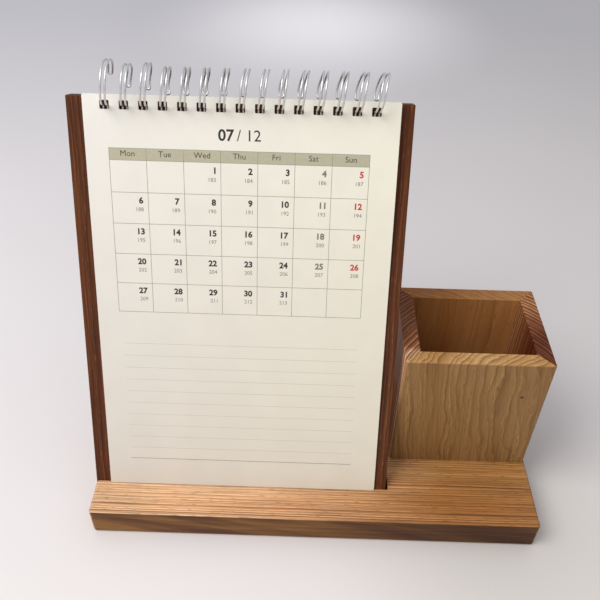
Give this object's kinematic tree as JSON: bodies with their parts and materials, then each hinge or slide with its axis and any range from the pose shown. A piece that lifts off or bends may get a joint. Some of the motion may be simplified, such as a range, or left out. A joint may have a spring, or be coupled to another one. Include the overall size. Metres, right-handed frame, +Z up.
{
  "type": "desk calendar stand with pen box",
  "caption": "Wooden desk calendar stand: a slotted base with a reclined back board, a wire-bound calendar leaning on it and an open square pen box.",
  "frame": {"origin": "centre of the base's underside", "axes": "+X along the base to the box end, +Y to the back, +Z up; the calendar faces -Y and up"},
  "size_m": [0.231, 0.098, 0.2156],
  "materials": {
    "base_wood": "satin oiled",
    "box_wood": "satin oiled",
    "board_wood": "satin oiled",
    "dowel_wood": "plain",
    "leaf_paper": null,
    "wire_steel": "bright"
  },
  "bodies": {
    "stand": {"base": "base_wood", "box_front_wall": "box_wood", "box_back_wall": "box_wood", "box_left_wall": "box_wood", "box_right_wall": "box_wood", "dowel_front_left": "dowel_wood", "dowel_front_right": "dowel_wood", "dowel_back_left": "dowel_wood", "dowel_back_right": "dowel_wood"},
    "board": {"back_board": "board_wood"},
    "binding": {"binding_wire": "wire_steel"},
    "leaf_1": {"leaf_1": "leaf_paper"},
    "leaf_2": {"leaf_2": "leaf_paper"},
    "leaf_3": {"leaf_3": "leaf_paper"},
    "leaf_4": {"leaf_4": "leaf_paper"},
    "leaf_5": {"leaf_5": "leaf_paper"},
    "leaf_6": {"leaf_6": "leaf_paper"}
  },
  "joints": [
    {"name": "board_lift", "type": "slide", "parent": "stand", "child": "board", "axis": [0, 0.3584, 0.9336], "range_m": [0, 0.03]},
    {"name": "calendar_lift", "type": "slide", "parent": "board", "child": "binding", "axis": [0, 0.3584, 0.9336], "range_m": [0, 0.03]},
    {"name": "turn_leaf_1", "type": "hinge", "parent": "binding", "child": "leaf_1", "pos_m": [-0.0381, 0.0404, 0.20702], "axis": [-1, 0, 0], "range_deg": [0, 270]},
    {"name": "turn_leaf_2", "type": "hinge", "parent": "binding", "child": "leaf_2", "pos_m": [-0.0381, 0.0404, 0.20702], "axis": [-1, 0, 0], "range_deg": [0, 270]},
    {"name": "turn_leaf_3", "type": "hinge", "parent": "binding", "child": "leaf_3", "pos_m": [-0.0381, 0.0404, 0.20702], "axis": [-1, 0, 0], "range_deg": [0, 270]},
    {"name": "turn_leaf_4", "type": "hinge", "parent": "binding", "child": "leaf_4", "pos_m": [-0.0381, 0.0404, 0.20702], "axis": [-1, 0, 0], "range_deg": [0, 270]},
    {"name": "turn_leaf_5", "type": "hinge", "parent": "binding", "child": "leaf_5", "pos_m": [-0.0381, 0.0404, 0.20702], "axis": [-1, 0, 0], "range_deg": [0, 270]},
    {"name": "turn_leaf_6", "type": "hinge", "parent": "binding", "child": "leaf_6", "pos_m": [-0.0381, 0.0404, 0.20702], "axis": [-1, 0, 0], "range_deg": [0, 270]}
  ]
}
